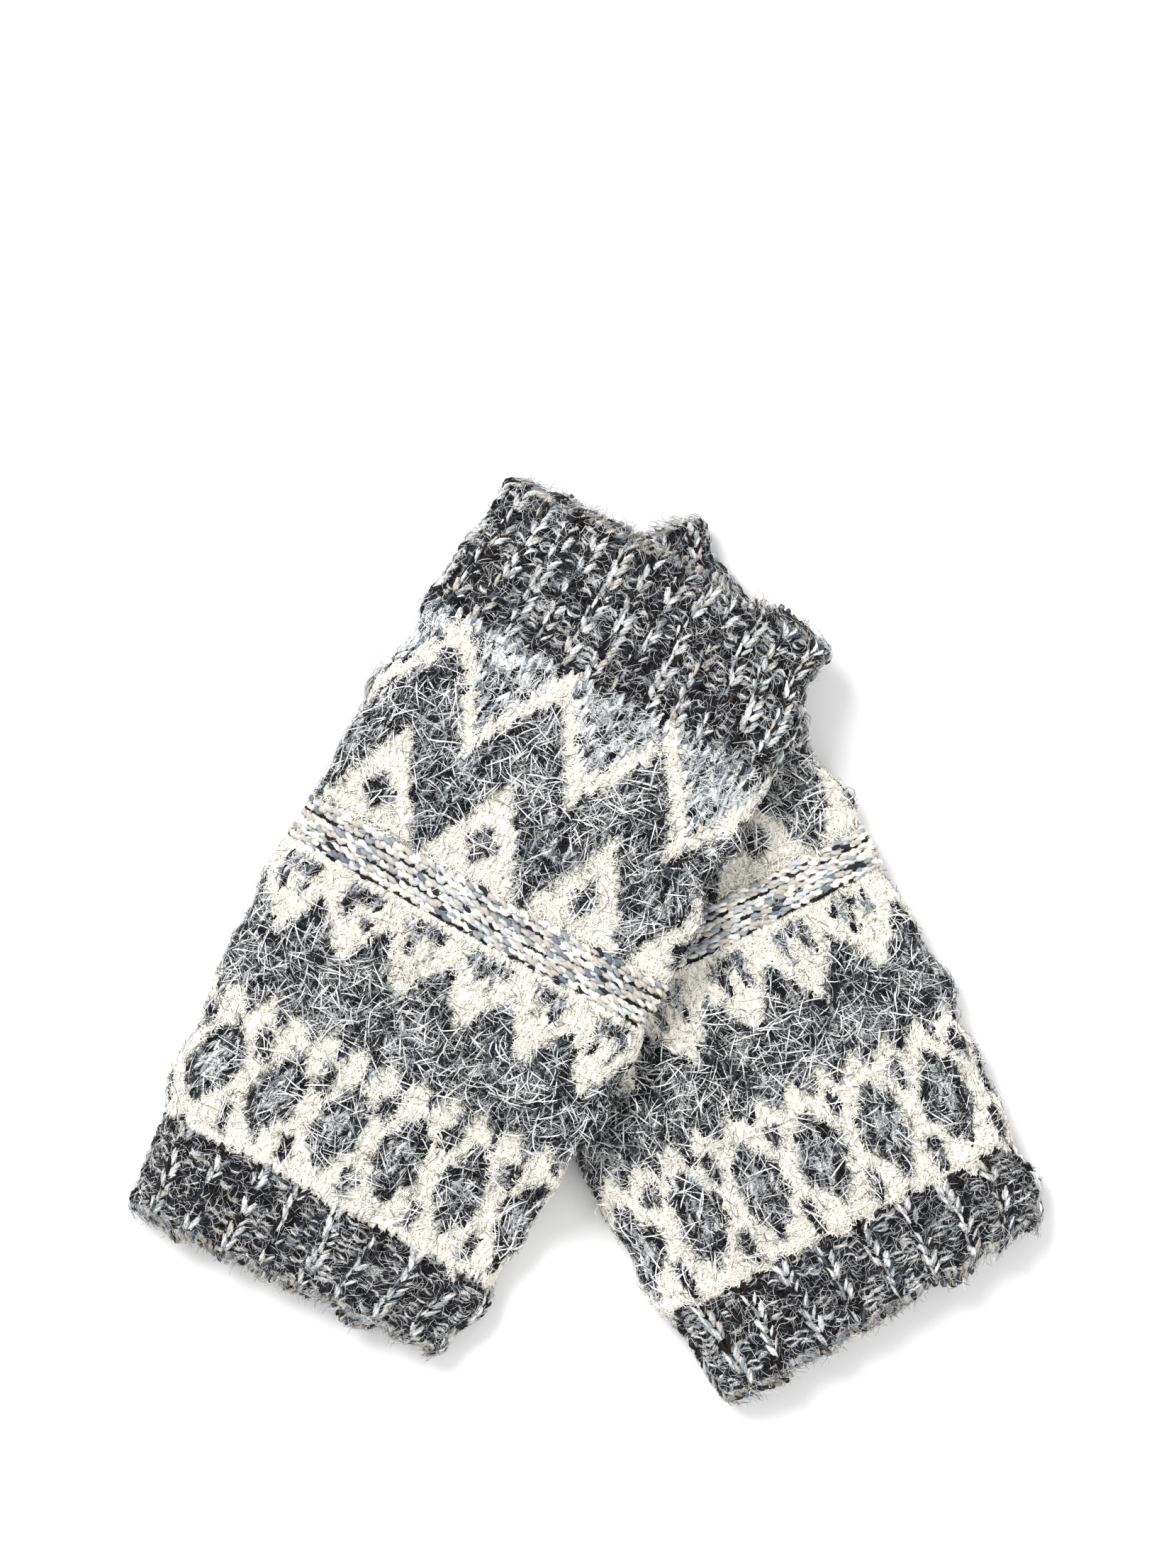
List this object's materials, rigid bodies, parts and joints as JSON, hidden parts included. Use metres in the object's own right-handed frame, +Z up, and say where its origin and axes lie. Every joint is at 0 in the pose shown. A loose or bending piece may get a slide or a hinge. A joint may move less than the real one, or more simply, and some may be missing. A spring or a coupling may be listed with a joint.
{
  "type": "pair of fingerless knitted gloves",
  "caption": "Pair of fingerless stranded-knit gloves laid flat and crossed: open knit tubes for the hand and wrist, ribbed at both ends, with a thumb slit in one fold.",
  "frame": {"origin": "on the table under the middle of the crossed pair", "axes": "+Z up from the table; +Y towards the finger ends; +X towards the lower glove's hem side"},
  "size_m": [0.235, 0.2385, 0.0288],
  "materials": {
    "marl_rib": "ribbed knit in a dark marled wool, off-white ply showing",
    "zigzag_knit": "brushed stranded knit, charcoal chevrons and cream triangles",
    "ridge_knit": "purl ridge in light marled wool with dark flecks",
    "wave_knit": "brushed stranded knit, charcoal waves on cream",
    "cream_knit": "soft felted cream wool",
    "diamond_knit": "brushed stranded knit, charcoal diamonds on cream",
    "rim_knit": "plain bound edge in marled wool"
  },
  "bodies": {
    "lower_hand": {"lower_finger_edge": "rim_knit", "lower_finger_cuff": "marl_rib", "lower_hand_panel": "zigzag_knit", "lower_thumb_edge": "rim_knit", "lower_ridge_1": "ridge_knit", "lower_ridge_2": "ridge_knit", "lower_ridge_3": "ridge_knit", "lower_wave_band": "wave_knit", "lower_dot_band": "cream_knit", "lower_diamond_band": "diamond_knit"},
    "lower_cuff_end": {"lower_rib_hem": "marl_rib", "lower_hem_edge": "rim_knit"},
    "upper_hand": {"upper_hand_panel": "zigzag_knit", "upper_thumb_edge": "rim_knit", "upper_ridge_1": "ridge_knit", "upper_ridge_2": "ridge_knit", "upper_ridge_3": "ridge_knit", "upper_wave_band": "wave_knit", "upper_dot_band": "cream_knit", "upper_diamond_band": "diamond_knit"},
    "upper_finger_end": {"upper_finger_edge": "rim_knit", "upper_finger_cuff": "marl_rib"},
    "upper_cuff_end": {"upper_rib_hem": "marl_rib", "upper_hem_edge": "rim_knit"}
  },
  "joints": [
    {"name": "upper_glove_lift", "type": "slide", "parent": "lower_hand", "child": "upper_hand", "axis": [0, 0, 1], "range_m": [0, 0.1]},
    {"name": "lower_cuff_bend", "type": "hinge", "parent": "lower_hand", "child": "lower_cuff_end", "pos_m": [0.06648, -0.0722, 0.0126], "axis": [-0.8917, -0.4527, 0], "range_deg": [0, 60]},
    {"name": "upper_cuff_bend", "type": "hinge", "parent": "upper_hand", "child": "upper_cuff_end", "pos_m": [-0.06535, -0.06527, 0.0126], "axis": [-0.8809, 0.4733, 0], "range_deg": [0, 60]},
    {"name": "upper_finger_bend", "type": "hinge", "parent": "upper_hand", "child": "upper_finger_end", "pos_m": [0.00422, 0.06422, 0.0281], "axis": [0.8809, -0.4733, 0], "range_deg": [0, 60]}
  ]
}
